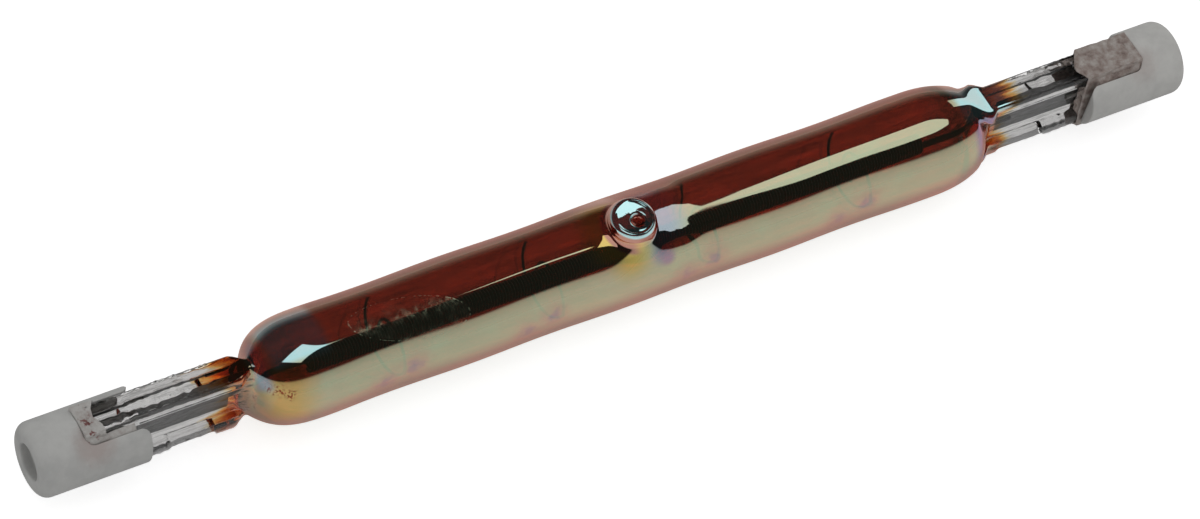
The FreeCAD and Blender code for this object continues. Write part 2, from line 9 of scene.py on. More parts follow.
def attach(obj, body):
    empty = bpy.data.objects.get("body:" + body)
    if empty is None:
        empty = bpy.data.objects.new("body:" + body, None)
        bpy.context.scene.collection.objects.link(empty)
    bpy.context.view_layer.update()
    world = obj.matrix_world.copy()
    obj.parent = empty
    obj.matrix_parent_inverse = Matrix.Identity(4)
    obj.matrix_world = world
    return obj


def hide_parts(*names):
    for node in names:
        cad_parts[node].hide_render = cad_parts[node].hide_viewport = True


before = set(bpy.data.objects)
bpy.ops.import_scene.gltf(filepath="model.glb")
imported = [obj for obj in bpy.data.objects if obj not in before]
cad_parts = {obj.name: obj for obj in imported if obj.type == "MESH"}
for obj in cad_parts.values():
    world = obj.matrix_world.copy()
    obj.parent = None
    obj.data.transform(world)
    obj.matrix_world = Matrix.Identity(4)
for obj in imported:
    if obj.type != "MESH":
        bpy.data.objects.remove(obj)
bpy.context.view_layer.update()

# Lengths are millimetres until a mesh is made. X runs along the lamp, Z is the wide way of the pinches.
MM = 0.001
LONG = 117.6
TUBE = 5.0
BORE = 4.0
LEFT_SHOULDER = 26.0
RIGHT_SHOULDER = 91.6
PINCH_START = 5.4
PINCH_END = LONG - PINCH_START
HALF_WIDE = 3.35
HALF_THICK = 1.575
HALF_WEB = 0.95
FIRST_SUPPORT = 34.8
SUPPORT_PITCH = 16.0
SUPPORTS = 4
WAIST_START = 34.0
WAIST_PITCH = 15.6
PIP_AT = 58.8
PIP_LEAN = radians(10)
PIP_UP = np.array([0.0, -sin(PIP_LEAN), cos(PIP_LEAN)])
PIP_SIDE = np.array([0.0, cos(PIP_LEAN), sin(PIP_LEAN)])
CAP_TURN = radians(6)
COIL_START = 27.2
COIL_LONG = 63.2
COIL_RADIUS = 1.0
COIL_TURNS = 208.0
WIRE_RADIUS = 0.15


# Small helpers for meshes

def smoothstep(value, low, high):
    t = np.clip((value - low) / (high - low), 0, 1)
    return t * t * (3 - 2 * t)


def smooth_max(a, b, round_off):
    near = np.clip(round_off - np.abs(a - b), 0, None) / round_off
    return np.maximum(a, b) + near * near * round_off / 4


def wobble(x, y, z, seed):
    """Soft noise between about -1 and 1."""
    return noise.noise(Vector((x + 17.3 * seed, y - 5.1 * seed, z + 3.7 * seed)))


def make_mesh(name, points, faces, materials, smooth=True, face_materials=None):
    """A mesh object from points in millimetres."""
    mesh = bpy.data.meshes.new(name)
    mesh.from_pydata([tuple(p) for p in np.asarray(points) * MM], [], faces)
    for material in materials:
        mesh.materials.append(material)
    if face_materials is not None:
        mesh.polygons.foreach_set("material_index", face_materials)
    mesh.polygons.foreach_set("use_smooth", [smooth] * len(mesh.polygons))
    mesh.validate()
    mesh.update()
    piece = bpy.data.objects.new(name, mesh)
    bpy.context.scene.collection.objects.link(piece)
    return piece


def ring_faces(rings, sides, capped=True):
    """Faces of a form whose points stand in equal rings. Uncapped, its last ring meets its first."""
    faces = []
    for i in range(rings - 1 if capped else rings):
        here, there = i * sides, (i + 1) % rings * sides
        for k in range(sides):
            n = (k + 1) % sides
            faces.append([here + k, here + n, there + n, there + k])
    if capped:
        faces.append(list(range(sides))[::-1])
        faces.append([(rings - 1) * sides + k for k in range(sides)])
    return faces


def face_outwards(piece):
    """Makes every face of a closed mesh look outwards."""
    work = bmesh.new()
    work.from_mesh(piece.data)
    bmesh.ops.recalc_face_normals(work, faces=work.faces)
    work.to_mesh(piece.data)
    work.free()
    piece.data.update()


def solid_form(name, points, faces, material, smooth=True):
    """A closed mesh that looks outwards."""
    piece = make_mesh(name, points, faces, [material], smooth)
    face_outwards(piece)
    return piece


def settle(piece):
    """Turns a piece and its modifiers into a plain mesh at the world origin."""
    graph = bpy.context.evaluated_depsgraph_get()
    mesh = bpy.data.meshes.new_from_object(piece.evaluated_get(graph), depsgraph=graph)
    piece.modifiers.clear()
    piece.data = mesh
    piece.data.transform(piece.matrix_world)
    piece.matrix_world = Matrix.Identity(4)
    return piece


def stands_for(piece, slot, *nodes):
    """The piece rides on the lamp and is shown in place of CAD nodes. Its slot is not used."""
    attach(piece, "root")
    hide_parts(*nodes)


# Small helpers for materials

def new_material(name):
    material = bpy.data.materials.new(name)
    material.use_nodes = True
    material.node_tree.nodes.clear()
    return material, material.node_tree


def put(tree, kind, inputs=None, **settings):
    """Adds a node. An input may be a plain value, another node or one of its outputs."""
    made = tree.nodes.new(kind)
    for key, value in settings.items():
        setattr(made, key, value)
    for key, value in (inputs or {}).items():
        if isinstance(value, bpy.types.Node):
            value = value.outputs[0]
        if isinstance(value, bpy.types.NodeSocket):
            tree.links.new(value, made.inputs[key])
        else:
            made.inputs[key].default_value = value
    return made


def maths(tree, operation, *values, clamp=False):
    made = put(tree, "ShaderNodeMath", dict(enumerate(values)), operation=operation, use_clamp=clamp)
    return made.outputs[0]


def times(tree, a, b):
    return maths(tree, "MULTIPLY", a, b)


def plus(tree, a, b):
    return maths(tree, "ADD", a, b)


def larger(tree, a, b):
    return maths(tree, "MAXIMUM", a, b)


def span(tree, a, b):
    """The length of the slope over two square sides."""
    squares = [maths(tree, "POWER", maths(tree, "ABSOLUTE", side), 2.0) for side in (a, b)]
    return maths(tree, "SQRT", plus(tree, *squares))


def vector_maths(tree, operation, a, b, output=0):
    return put(tree, "ShaderNodeVectorMath", {0: a, 1: b}, operation=operation).outputs[output]


def ease(tree, value, low, high):
    """0 at low, 1 at high, smooth between. High may be the smaller one."""
    flip = low > high
    given = {"Value": value, "From Min": min(low, high), "From Max": max(low, high)}
    given.update({"To Min": float(flip), "To Max": float(not flip)})
    made = put(tree, "ShaderNodeMapRange", given, interpolation_type="SMOOTHSTEP")
    return made.outputs["Result"]


def band(tree, value, start, full, end, out):
    """Rises from start to full and falls again from end to out."""
    return times(tree, ease(tree, value, start, full), ease(tree, value, out, end))


def blend_colour(tree, factor, first, second, kind="MIX"):
    made = put(tree, "ShaderNodeMix", {0: factor}, data_type="RGBA", blend_type=kind, clamp_factor=True)
    for index, value in ((6, first), (7, second)):
        if isinstance(value, bpy.types.NodeSocket):
            tree.links.new(value, made.inputs[index])
        else:
            made.inputs[index].default_value = (*value, 1.0)
    return made.outputs[2]


def blend_value(tree, factor, first, second):
    made = put(tree, "ShaderNodeMix", {0: factor, 2: first, 3: second}, data_type="FLOAT")
    return made.outputs[0]


def ramp(tree, factor, stops):
    """Colours, or greys given as one number, at places from 0 to 1."""
    made = put(tree, "ShaderNodeValToRGB", {"Fac": factor})
    line = made.color_ramp
    while len(line.elements) < len(stops):
        line.elements.new(0.5)
    for element, (place, colour) in zip(line.elements, stops):
        element.position = place
        element.color = (*colour, 1.0) if isinstance(colour, tuple) else (colour, colour, colour, 1.0)
    return made.outputs["Color"]


def millimetres(tree):
    """Object coordinates in millimetres, whole and as x, y and z."""
    where = put(tree, "ShaderNodeTexCoord").outputs["Object"]
    scaled = put(tree, "ShaderNodeVectorMath", {0: where, "Scale": 1000.0}, operation="SCALE").outputs[0]
    parts = put(tree, "ShaderNodeSeparateXYZ", {0: scaled})
    return scaled, parts.outputs[0], parts.outputs[1], parts.outputs[2]


def stretched(tree, where, x, y, z):
    return vector_maths(tree, "MULTIPLY", where, (x, y, z))


def grain(tree, where, scale, detail=3.0, rough=0.55):
    given = {"Vector": where, "Scale": scale, "Detail": detail, "Roughness": rough}
    return put(tree, "ShaderNodeTexNoise", given).outputs["Fac"]


def spread(tree, value, amount):
    """Noise from 0..1 moved to -amount..amount."""
    return maths(tree, "MULTIPLY_ADD", value, 2.0 * amount, -amount)


def finish_material(tree, shader):
    put(tree, "ShaderNodeOutputMaterial", {"Surface": shader})


# Materials

DEEP_RED = (0.59, 0.15, 0.113)
CREAM = (0.87, 0.94, 0.63)
GREENISH = (0.86, 0.99, 0.66)
CYAN = (0.60, 0.98, 1.0)
YELLOW = (1.0, 0.79, 0.30)
GOLD = (1.0, 0.76, 0.24)
PALE_BLUE = (0.70, 0.84, 0.94)
VIOLET = (0.62, 0.55, 0.80)
BLUE = (0.55, 0.72, 0.78)
ROSE = (1.0, 0.66, 0.52)
COPPER = (1.0, 0.45, 0.22)
DARK_COPPER = (0.66, 0.36, 0.28)
INDIGO = (0.36, 0.40, 0.66)
RIM_PINK = (0.90, 0.58, 0.49)
SPECK_RED = (0.35, 0.05, 0.03)
WHITE = (1.0, 1.0, 1.0)
SILICA = 1.458

# How the fired coat runs out over the glass of the pinches, from bare to full.
COAT_STOPS = [
    (0.0, WHITE), (0.12, (0.98, 0.88, 0.66)), (0.35, (0.96, 0.58, 0.20)), (0.65, (0.86, 0.30, 0.08)),
    (1.0, DEEP_RED)]
# Spots of another film thickness beside the foot of the tip: place, reach, colour.
FOOT_SPOTS = [((57.6, -3.35, 3.72), 3.0, (1.0, 0.80, 0.22)), ((60.7, -3.70, 3.35), 1.7, (0.52, 0.60, 0.72)),
              ((61.1, -4.10, 2.85), 1.0, (0.66, 0.56, 0.68)), ((56.4, -2.13, 4.6), 1.4, ROSE)]
# Two spots at each waist: along the lamp from it, and degrees from Z towards minus Y.
WAISTS_AT = (33.9, 48.0, 64.6, 80.3)
WAIST_SPOTS = ((-1.3, 88.0), (1.5, 78.0))
SPECKS_AT = [(23.2, -3.65, 1.95), (22.8, -3.2, 2.1), (22.4, -2.7, 2.2)]
# The dull smear: centre and half size, along the lamp and in degrees from Z towards minus Y.
SMEAR_AT = (35.9, 24.0)
SMEAR_SIZE = (5.6, 24.0)


def near_points(tree, where, points, inner, outer):
    """1 close to any of the points, 0 beyond outer millimetres."""
    total = None
    for point in points:
        here = ease(tree, vector_maths(tree, "DISTANCE", where, point, "Value"), outer, inner)
        total = here if total is None else larger(tree, total, here)
    return total


def coat_cover(tree, where, x, z):
    """0 on the bare glass of the pinches and 1 on the tube, with streaky edges between."""
    streak = grain(tree, stretched(tree, where, 0.35, 2.4, 2.4), 1.0, 4.0, 0.6)
    edge_side = ease(tree, maths(tree, "ABSOLUTE", z), 2.6, 3.2)
    left_x = plus(tree, x, maths(tree, "MULTIPLY_ADD", edge_side, 1.3, spread(tree, streak, 2.6)))
    right_x = plus(tree, x, maths(tree, "MULTIPLY_ADD", edge_side, -1.4, spread(tree, streak, 1.8)))
    return times(tree, ease(tree, left_x, 17.9, 21.7), ease(tree, right_x, 99.4, 96.6))


def coat_tint(tree, where, cover):
    """What the coat does to light that passes: ruby, with drawn streaks, darker lengthwise lines on the bare
    glass and dirt at its edges.
    """
    tint = ramp(tree, cover, COAT_STOPS)
    lengthwise = grain(tree, stretched(tree, where, 0.16, 1.4, 1.4), 1.0, 5.0, 0.62)
    dark = times(tree, ease(tree, lengthwise, 0.40, 0.66), cover)
    tint = blend_colour(tree, dark, tint, (0.75, 0.75, 0.75), "MULTIPLY")
    glow = times(tree, ease(tree, lengthwise, 0.46, 0.30), cover)
    tint = blend_colour(tree, glow, tint, (1.15, 0.95, 0.95), "MULTIPLY")
    # Darker lengthwise lines in what the bare glass of the pinches passes, not wear.
    lines = ease(tree, grain(tree, stretched(tree, where, 0.22, 3.0, 3.0), 1.0, 4.0, 0.7), 0.48, 0.60)
    worn = blend_colour(tree, lines, (0.95, 0.945, 0.94), (0.76, 0.755, 0.75))
    tint = blend_colour(tree, ease(tree, cover, 0.5, 0.0), tint, worn, "MULTIPLY")
    dirty = ease(tree, grain(tree, stretched(tree, where, 1.0, 3.0, 3.0), 1.6, 4.0, 0.65), 0.62, 0.78)
    at_edge = band(tree, cover, 0.1, 0.4, 0.8, 1.0)
    return blend_colour(tree, times(tree, dirty, at_edge), tint, (0.10, 0.02, 0.01))


def smear_on_coat(tree, where, x, turn, cover):
    """The dull oval smear on the left of the tube, with a dotted edge."""
    along = maths(tree, "DIVIDE", maths(tree, "SUBTRACT", x, SMEAR_AT[0]), SMEAR_SIZE[0])
    round_tube = maths(tree, "DIVIDE", maths(tree, "SUBTRACT", turn, SMEAR_AT[1]), SMEAR_SIZE[1])
    far = span(tree, along, maths(tree, "MULTIPLY_ADD", along, -0.55, round_tube))
    patchy = times(tree, ease(tree, grain(tree, where, 1.3, 6.0, 0.75), 0.38, 0.70), 0.55)
    inside = times(tree, ease(tree, far, 1.02, 0.94), patchy)
    dots = ease(tree, grain(tree, where, 3.4, 1.0), 0.42, 0.60)
    edge = times(tree, band(tree, far, 0.955, 0.98, 0.99, 1.015), dots)
    return times(tree, larger(tree, inside, edge), cover)


def coated_quartz():
    """Ruby coat with a strong cream reflection on the tube, running out to clear quartz at the pinches."""
    material, tree = new_material("coated_quartz")
    where, x, y, z = millimetres(tree)
    turn = maths(tree, "DEGREES", maths(tree, "ARCTAN2", times(tree, y, -1.0), z))
    cloud = grain(tree, where, 0.35, 2.0, 0.5)
    cover = coat_cover(tree, where, x, z)

    pip_x = maths(tree, "SUBTRACT", x, PIP_AT)
    reach = span(tree, pip_x, vector_maths(tree, "DOT_PRODUCT", where, tuple(PIP_SIDE), "Value"))
    high = vector_maths(tree, "DOT_PRODUCT", where, tuple(PIP_UP), "Value")
    on_pip = times(tree, ease(tree, high, 6.05, 6.2), ease(tree, reach, 2.2, 2.05))
    pip_wall = times(tree, ease(tree, high, 5.5, 5.7), ease(tree, reach, 3.0, 2.4))
    near_pip = times(tree, ease(tree, reach, 6.2, 3.4), ease(tree, turn, 44.0, 36.0))
    pip_left = times(tree, near_pip, ease(tree, pip_x, 0.6, -0.8))
    pip_right = times(tree, near_pip, ease(tree, pip_x, 0.4, 2.0))
    collar = times(tree, band(tree, reach, 2.0, 2.3, 2.7, 3.0), ease(tree, pip_x, 0.2, -1.0))

    film = blend_colour(tree, ease(tree, cloud, 0.5, 0.75), CREAM, GREENISH)
    film = blend_colour(tree, ease(tree, x, 54.0, 36.0), film, (0.90, 0.97, 0.98), "MULTIPLY")
    ragged_x = plus(tree, x, spread(tree, cloud, 1.0))
    left_low = times(tree, band(tree, ragged_x, 20.6, 22.4, 23.6, 27.2), ease(tree, turn, 14.0, 26.0))
    left_high = times(tree, band(tree, x, 21.0, 21.5, 21.9, 22.7), ease(tree, turn, 64.0, 46.0))
    left_joint = times(tree, ease(tree, x, 21.4, 20.4), cover)
    right_joint = times(tree, ease(tree, x, 97.0, 98.2), cover)
    right_dome = band(tree, x, 93.6, 94.8, 96.4, 97.6)
    films = [
        (left_low, YELLOW), (left_high, BLUE), (left_joint, COPPER), (right_dome, VIOLET),
        (right_joint, COPPER)]
    for share, colour in films:
        film = blend_colour(tree, share, film, colour)
    for place, far, colour in FOOT_SPOTS:
        film = blend_colour(tree, near_points(tree, where, [place], 0.2, far), film, colour)
    film = blend_colour(tree, pip_left, film, GOLD)
    film = blend_colour(tree, pip_right, film, PALE_BLUE)
    film = blend_colour(tree, larger(tree, collar, pip_wall), film, DARK_COPPER)
    left_zone = band(tree, x, 22.2, 23.2, 27.5, 28.5)
    right_zone = band(tree, x, 93.0, 94.0, 99.6, 100.6)
    upper = times(tree, larger(tree, left_zone, right_zone), ease(tree, turn, 34.0, 22.0))
    film = blend_colour(tree, larger(tree, upper, on_pip), film, CYAN)

    spots = []
    for waist in WAISTS_AT:
        for slide, angle in WAIST_SPOTS:
            a = radians(angle)
            spots.append((waist + slide, -TUBE * sin(a), TUBE * cos(a)))
    bent = vector_maths(tree, "ADD", where, wandering(tree, where))
    film = blend_colour(tree, times(tree, near_points(tree, bent, spots, 0.5, 2.4), 0.55), film, ROSE)
    film = blend_colour(tree, times(tree, near_points(tree, bent, spots, 0.2, 1.1), 0.40), film, INDIGO)

    grazing = put(tree, "ShaderNodeLayerWeight", {"Blend": 0.5}).outputs["Facing"]
    film = blend_colour(tree, ease(tree, grazing, 0.34, 0.74), film, RIM_PINK)
    fine = ease(tree, grain(tree, where, 4.5, 2.0), 0.52, 0.56)
    specks = times(tree, near_points(tree, bent, SPECKS_AT, 0.1, 0.9), fine)
    film = blend_colour(tree, specks, film, SPECK_RED)
    film = blend_colour(tree, maths(tree, "SUBTRACT", 1.0, cover), film, WHITE)

    bare = put(tree, "ShaderNodeFresnel", {"IOR": SILICA}).outputs[0]
    plain = maths(tree, "DIVIDE", maths(tree, "SUBTRACT", bare, 0.035), 0.965)
    strong = times(tree, larger(tree, larger(tree, upper, pip_left), on_pip), 0.3)
    coated = maths(tree, "ADD", maths(tree, "MULTIPLY_ADD", plain, 0.61, 0.385), strong, clamp=True)
    mirror = blend_value(tree, ease(tree, cover, 0.35, 1.0), bare, coated)
    rough = blend_value(tree, smear_on_coat(tree, where, x, turn, cover), 0.03, 0.36)

    tint = coat_tint(tree, where, cover)
    passing = put(tree, "ShaderNodeBsdfRefraction", {"Color": tint, "Roughness": 0.0, "IOR": SILICA})
    bouncing = put(tree, "ShaderNodeBsdfAnisotropic", {"Color": film, "Roughness": rough})
    both = put(tree, "ShaderNodeMixShader", {0: mirror, 1: passing, 2: bouncing})
    finish_material(tree, both)
    return material


def wandering(tree, where):
    """A small wandering offset, so that spots are not round."""
    made = put(tree, "ShaderNodeTexNoise", {"Vector": where, "Scale": 0.9, "Detail": 3.0, "Roughness": 0.6})
    moved = vector_maths(tree, "SUBTRACT", made.outputs["Color"], (0.5, 0.5, 0.5))
    return put(tree, "ShaderNodeVectorMath", {0: moved, "Scale": 2.2}, operation="SCALE").outputs[0]


def clear_quartz():
    material, tree = new_material("clear_quartz")
    shader = put(tree, "ShaderNodeBsdfPrincipled", {
        "Base Color": (1.0, 1.0, 1.0, 1.0), "Roughness": 0.0, "IOR": SILICA, "Transmission Weight": 1.0})
    finish_material(tree, shader)
    return material


def ceramic():
    """Matt grey white ceramic, a little dirty, with a pink brown stain at the floor of each slot."""
    material, tree = new_material("ceramic")
    where, x, y, z = millimetres(tree)
    cloud = grain(tree, where, 0.45, 4.0, 0.6)
    base = blend_colour(tree, ease(tree, cloud, 0.3, 0.75), (0.50, 0.50, 0.485), (0.42, 0.42, 0.41))
    # Painted light: the right cap is painted about 12% lighter, for the brighter light that falls on that
    # end.
    base = blend_colour(tree, ease(tree, x, 50.0, 60.0), base, (1.12, 1.11, 1.10), "MULTIPLY")
    wander = spread(tree, grain(tree, where, 1.2, 4.0, 0.7), 0.9)
    stains = []
    for place, outer, inner in (((5.2, -1.9, 2.3), 2.6, 0.8), ((112.9, -1.6, 2.6), 2.4, 0.6)):
        far = vector_maths(tree, "DISTANCE", where, place, "Value")
        stains.append(ease(tree, plus(tree, far, wander), outer, inner))
    stain = larger(tree, stains[0], times(tree, stains[1], 0.6))
    base = blend_colour(tree, times(tree, stain, 0.55), base, (0.36, 0.27, 0.25))
    skin = put(tree, "ShaderNodeBump", {
        "Strength": 0.12, "Distance": 0.00003, "Height": grain(tree, where, 6.0, 3.0)})
    shader = put(tree, "ShaderNodeBsdfPrincipled", {
        "Base Color": base, "Roughness": 0.72, "Specular IOR Level": 0.35, "Normal": skin})
    finish_material(tree, shader)
    return material


def cement():
    """Lumpy fired cement with a wet looking skin, pale on the left and pink brown on the right."""
    material, tree = new_material("cement")
    where, x, y, z = millimetres(tree)
    cloud = grain(tree, where, 1.3, 5.0, 0.65)
    brown = ramp(tree, cloud, [
        (0.30, (0.18, 0.13, 0.115)), (0.45, (0.29, 0.235, 0.21)), (0.62, (0.39, 0.35, 0.325)),
        (0.8, (0.52, 0.49, 0.46))])
    pale = ramp(tree, cloud, [
        (0.30, (0.36, 0.32, 0.30)), (0.50, (0.45, 0.435, 0.415)), (0.75, (0.52, 0.51, 0.49))])
    base = blend_colour(tree, ease(tree, x, 50.0, 60.0), pale, brown)
    rust = ease(tree, grain(tree, where, 1.1, 3.0, 0.6), 0.54, 0.62)
    rust = times(tree, rust, band(tree, x, 4.4, 4.9, 5.4, 6.1))
    base = blend_colour(tree, times(tree, rust, 0.9), base, (0.16, 0.04, 0.035))
    lumps = put(tree, "ShaderNodeBump", {
        "Strength": 0.6, "Distance": 0.0002, "Height": grain(tree, where, 2.5, 4.0)})
    shader = put(tree, "ShaderNodeBsdfPrincipled", {"Base Color": base, "Roughness": 0.38, "Normal": lumps})
    finish_material(tree, shader)
    return material


def dull_metal(name, colour, roughness):
    material, tree = new_material(name)
    where = millimetres(tree)[0]
    streak = grain(tree, stretched(tree, where, 0.5, 3.0, 3.0), 1.5, 4.0, 0.6)
    darker = tuple(0.6 * c for c in colour)
    base = blend_colour(tree, ease(tree, streak, 0.35, 0.7), colour, darker)
    shader = put(tree, "ShaderNodeBsdfPrincipled", {
        "Base Color": base, "Metallic": 1.0, "Roughness": roughness})
    finish_material(tree, shader)
    return material


# The quartz envelope

AROUND = 160
STEP = 360.0 / AROUND
PIP_COLUMN = 22
PIP_HALF = 3.9
PIP_RINGS = 40
# Degrees from Y towards Z, then half thickness and half width: web, slope, rib and softened corner.
PINCH_TABLE = [
    (0.0, HALF_WEB, 0.0), (57.0, HALF_WEB, 1.72), (63.0, HALF_THICK, 2.12), (74.0, HALF_THICK, 3.02),
    (78.5, 1.30, HALF_WIDE), (90.0, 0.0, HALF_WIDE)]
LEFT_DOME_END = 28.2
RIGHT_DOME_START = 89.6
PRESS_CENTRE = 12.0
PRESS_HALF = 22.0
FLARE_REACH = 5.6
FOOT = 2.5
NECK = 2.2
NECK_HEIGHT = 5.58
# Ragged flash on the narrow faces of the pinches: from, to, side of Z and height.
FLASHES = [
    (9.8, 13.6, -1, 0.55), (17.6, 23.0, -1, 0.62), (8.9, 15.2, 1, 0.20), (103.6, 108.2, -1, 0.45),
    (96.2, 98.9, -1, 0.45), (102.2, 106.8, 1, 0.15)]
# Radius and height over the lamp axis of the tip's rim, from the neck to the edge of the dish.
TIP_PROFILE = [
    (2.20, 5.60), (2.25, 5.64), (2.285, 5.70), (2.28, 5.77), (2.24, 5.84), (2.20, 5.92), (2.17, 6.02),
    (2.13, 6.12), (2.07, 6.24), (1.99, 6.36), (1.90, 6.44), (1.80, 6.485), (1.72, 6.49)]
DISH_RINGS = [
    1.68, 1.63, 1.57, 1.5, 1.42, 1.34, 1.26, 1.18, 1.1, 1.02, 0.94, 0.86, 0.78, 0.7, 0.62, 0.54, 0.46,
    0.36, 0.24, 0.12]
RIM_HEIGHT = 6.49
DIMPLE = (0.30, -0.32)
FLARE_RINGS = 14
NECK_RINGS = 12
HOLLOW_SIDES = 64


def pinch_unit():
    """The pinch's outline at each column, as shares of its half thickness and half width."""
    fine = np.arange(0, 360, 0.25)
    quarter = np.where(fine % 180 <= 90, fine % 180, 180 - fine % 180)
    table = np.array(PINCH_TABLE)
    ys = np.interp(quarter, table[:, 0], table[:, 1]) / HALF_THICK
    zs = np.interp(quarter, table[:, 0], table[:, 2]) / HALF_WIDE
    ys = ys * np.where((fine > 90) & (fine < 270), -1, 1)
    zs = zs * np.where(fine > 180, -1, 1)
    kernel = np.ones(9) / 9
    soft = [np.convolve(np.concatenate([v[-4:], v, v[:4]]), kernel, "valid") for v in (ys, zs)]
    angles = column_angles() % 360
    return [np.interp(angles, np.append(fine, 360.0), np.append(v, v[0])) for v in soft]


def column_angles():
    """Degrees from +Y towards +Z, so placed that the tip is in the middle of a column."""
    return 90 + degrees(PIP_LEAN) + STEP * np.arange(AROUND)


def dome(distance, run, squareness):
    """The tube's radius at a distance into a dome that closes within its run."""
    return TUBE * np.sqrt(1 - np.clip(distance / run, 0, 1) ** squareness)


def outer_profile(x):
    """Half thickness, half width up and down, and the share turned from round to pinched, at x."""
    on_left = x < PIP_AT
    radius = np.where(on_left, dome(LEFT_DOME_END - x, 7.2, 3.4), dome(x - RIGHT_DOME_START, 8.0, 2.6))
    half_thick = smooth_max(radius, HALF_THICK, 1.0)
    half_wide = smooth_max(radius, HALF_WIDE, 1.5)
    half_low = np.where(on_left, smooth_max(dome(26.0 - x, 6.5, 3.05), HALF_WIDE, 0.6), half_wide)
    pinched = np.where(on_left, 1 - smoothstep(x, 19.6, 21.4), smoothstep(x, 94.6, 97.6))
    return half_thick, half_wide, half_low, pinched


def unevenness(x, angle):
    """How far the drawn tube lies inside its full radius: waists at the supports and slow waves."""
    waist = 0.5 + 0.5 * cos(2 * pi * (x - WAIST_START) / WAIST_PITCH)
    waist *= smoothstep(x, 27.0, 31.0) * (1 - smoothstep(x, 86.0, 91.0))
    wave = 0.5 + 0.5 * wobble(x * 0.10, cos(angle) * 0.3, sin(angle) * 0.3, 4)
    fade = smoothstep(x, 22.0, 25.0) * (1 - smoothstep(x, 93.0, 96.0))
    return float((0.15 * waist * cos(angle) ** 2 + 0.02 * wave) * fade)


def pressed(along, turn):
    """How much the section stands over the round near the tip, where the tube wall was pressed flatter."""
    share = abs(degrees(turn) - PRESS_CENTRE) / PRESS_HALF
    flat = 0.30 * (1 - exp(-1.02 * share * share)) * (1 - smoothstep(share, 1.1, 2.7))
    return float(flat * smoothstep(along, 0.8, 2.2) * (1 - smoothstep(along, 4.4, 6.8)))


def tube_radius(along, turn):
    """The tube's radius beside the tip, at an angle turned from it."""
    return TUBE - unevenness(PIP_AT + along, pi / 2 + PIP_LEAN + turn) + pressed(along, turn)


def skin_near_tip(along, turn):
    """Side and height of the tube skin in the tip's own frame, at an angle turned from the tip."""
    radius = tube_radius(along, turn)
    side = -radius * sin(turn)
    height = radius * cos(turn)
    far = hypot(along, radius * turn)
    if far < FLARE_REACH:
        share = min((FLARE_REACH - far) / (FLARE_REACH - NECK), 1.0)
        right = float(smoothstep(along, -1.0, 1.0))
        sideways = abs(radius * turn / max(far, 0.01)) ** (2 + 2 * right)
        lift = (1 - sideways) * (0.25 - 0.10 * right) * share ** (4 - 2 * right)
        height += lift + sideways * (5.30 - height) * share ** 3
    return side, height


def skin_at_side(along, side):
    """Height of the tube skin at a place given by its distance to the side of the tip."""
    radius = TUBE
    for _ in range(4):
        turn = -asin(max(-0.99, min(0.99, side / radius)))
        radius = tube_radius(along, turn)
    return skin_near_tip(along, turn)[1]


def ring_places():
    """Where the rings stand along X, closer at the domes and the tip."""
    left_pinch = np.arange(PINCH_START, 20.4, 0.22)
    left_dome = np.arange(20.4, LEFT_DOME_END, 0.18)
    before = np.linspace(LEFT_DOME_END, PIP_AT - PIP_HALF, 62)
    tip = np.linspace(PIP_AT - PIP_HALF, PIP_AT + PIP_HALF, PIP_RINGS + 1)[1:]
    after = np.linspace(PIP_AT + PIP_HALF, RIGHT_DOME_START, 62)[1:]
    right_dome = np.arange(89.8, 98.4, 0.19)
    right_pinch = np.arange(98.4, PINCH_END, 0.22)
    return np.concatenate([left_pinch, left_dome, before, tip, after, right_dome, right_pinch, [PINCH_END]])


def pinch_roughness(x, y, z, widest):
    """How far the narrow faces of the pinches stand out or in: pits and ragged flash."""
    level = 0.0 if 23.0 < x < 95.5 else float(smoothstep(abs(z), 2.95, 3.3))
    if level == 0:
        return 0.0
    bare = float(1 - smoothstep(x, 17.0, 19.5) if x < PIP_AT else smoothstep(x, 99.5, 101.5))
    rim = float(smoothstep(abs(y), 0.5, 1.1))
    pits = wobble(x * 2.3, y * 1.5, z, 1) + 0.8 * wobble(x * 5.5, y * 3.0, z, 2)
    pits *= bare * (0.03 + 0.12 * rim)
    out = 0.0
    for start, end, side, tall in FLASHES:
        if z * side > 0:
            ragged = 0.35 * wobble(x * 2.6, 0.0, side, 3)
            tall = max(tall * (1 + 0.5 * ragged) - (widest - HALF_WIDE), 0.0)
            there = smoothstep(x, start, start + 0.3) * (1 - smoothstep(x, end - 0.3, end))
            out = max(out, tall * float(there))
    return level * (pits - 0.06 * bare * rim + out)


